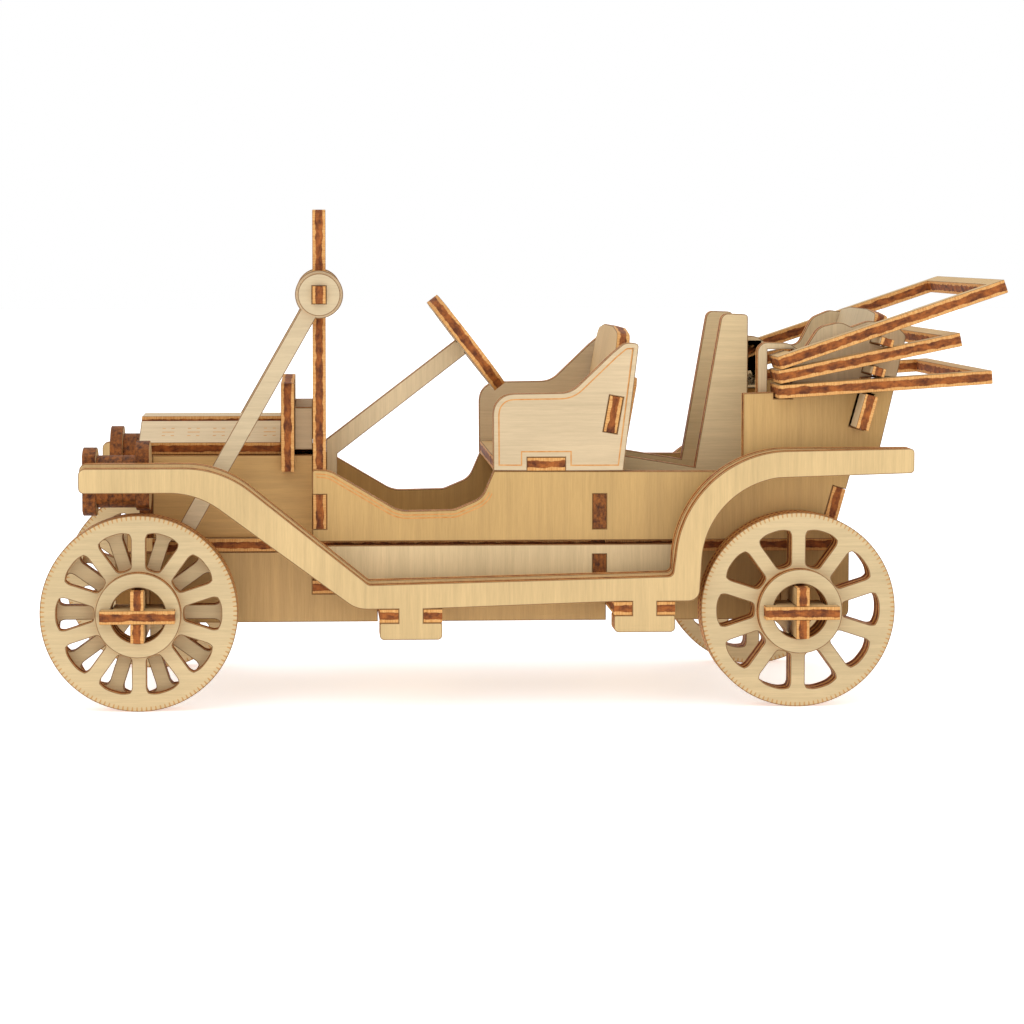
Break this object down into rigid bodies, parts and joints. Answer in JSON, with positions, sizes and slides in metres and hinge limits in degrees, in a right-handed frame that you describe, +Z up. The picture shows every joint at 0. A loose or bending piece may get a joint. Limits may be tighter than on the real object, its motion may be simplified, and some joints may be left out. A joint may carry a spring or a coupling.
{
  "type": "wooden puzzle touring car",
  "caption": "Open vintage touring car slotted together from flat laser-cut plywood, with spoked wheels that turn on flat axles and a folded top.",
  "frame": {"origin": "centre of the footprint, on the plane the four wheels stand on", "axes": "+X from the headlamps towards the folded top, +Y towards the car's right side, +Z up"},
  "size_m": [0.1808, 0.0686, 0.0932],
  "materials": {
    "plywood_face": "bare basswood plywood, smooth, matt, burnt brown cut edges",
    "plywood_pale": "bare basswood plywood, the palest faces, burnt brown cut edges",
    "plywood_shaded": "bare basswood plywood, warmer faces and mostly cut edges in view"
  },
  "bodies": {
    "car": {"axle_key_front_left": "plywood_shaded", "axle_key_front_right": "plywood_shaded", "axle_key_rear_left": "plywood_shaded", "axle_key_rear_right": "plywood_shaded", "front_axle": "plywood_shaded", "rear_axle": "plywood_shaded", "cross_beam_front": "plywood_shaded", "cross_beam_rear": "plywood_shaded", "frame_tie": "plywood_shaded", "seat_bulkhead": "plywood_shaded", "radiator_board": "plywood_shaded", "hood_top": "plywood_shaded", "cowl_former": "plywood_shaded", "front_seat_base": "plywood_shaded", "front_seat_rest": "plywood_shaded", "top_bow_1": "plywood_shaded", "top_bow_2": "plywood_shaded", "top_bow_3": "plywood_shaded", "floor_board": "plywood_face", "windshield_firewall": "plywood_face", "steering_column": "plywood_face", "steering_wheel": "plywood_face", "front_seat_back": "plywood_face", "rear_panel": "plywood_face", "cowl_box": "plywood_pale", "chassis_side_left": "plywood_shaded", "fender_left": "plywood_pale", "body_side_left": "plywood_face", "apron_left": "plywood_pale", "hood_side_left": "plywood_face", "hood_slope_left": "plywood_pale", "headlamp_left": "plywood_shaded", "windshield_brace_left": "plywood_face", "front_seat_side_left": "plywood_pale", "rear_seat_rib_left": "plywood_face", "bow_rack_left": "plywood_face", "chassis_side_right": "plywood_shaded", "fender_right": "plywood_pale", "body_side_right": "plywood_face", "apron_right": "plywood_pale", "hood_side_right": "plywood_face", "hood_slope_right": "plywood_pale", "headlamp_right": "plywood_shaded", "windshield_brace_right": "plywood_face", "front_seat_side_right": "plywood_pale", "rear_seat_rib_right": "plywood_face", "bow_rack_right": "plywood_face"},
    "wheel_front_left": {"wheel_front_left_inner_disc": "plywood_shaded", "wheel_front_left_outer_disc": "plywood_face", "wheel_front_left_hub_ring": "plywood_pale"},
    "wheel_front_right": {"wheel_front_right_inner_disc": "plywood_shaded", "wheel_front_right_outer_disc": "plywood_face", "wheel_front_right_hub_ring": "plywood_pale"},
    "wheel_rear_left": {"wheel_rear_left_inner_disc": "plywood_shaded", "wheel_rear_left_outer_disc": "plywood_face", "wheel_rear_left_hub_ring": "plywood_pale"},
    "wheel_rear_right": {"wheel_rear_right_inner_disc": "plywood_shaded", "wheel_rear_right_outer_disc": "plywood_face", "wheel_rear_right_hub_ring": "plywood_pale"}
  },
  "joints": [
    {"name": "front_left_wheel_spin", "type": "hinge", "parent": "car", "child": "wheel_front_left", "pos_m": [-0.07215, 0, 0.0183], "axis": [0, 1, 0], "continuous": true},
    {"name": "front_right_wheel_spin", "type": "hinge", "parent": "car", "child": "wheel_front_right", "pos_m": [-0.07215, 0, 0.0183], "axis": [0, 1, 0], "continuous": true},
    {"name": "rear_left_wheel_spin", "type": "hinge", "parent": "car", "child": "wheel_rear_left", "pos_m": [0.05095, 0, 0.0183], "axis": [0, 1, 0], "continuous": true},
    {"name": "rear_right_wheel_spin", "type": "hinge", "parent": "car", "child": "wheel_rear_right", "pos_m": [0.05095, 0, 0.0183], "axis": [0, 1, 0], "continuous": true}
  ]
}
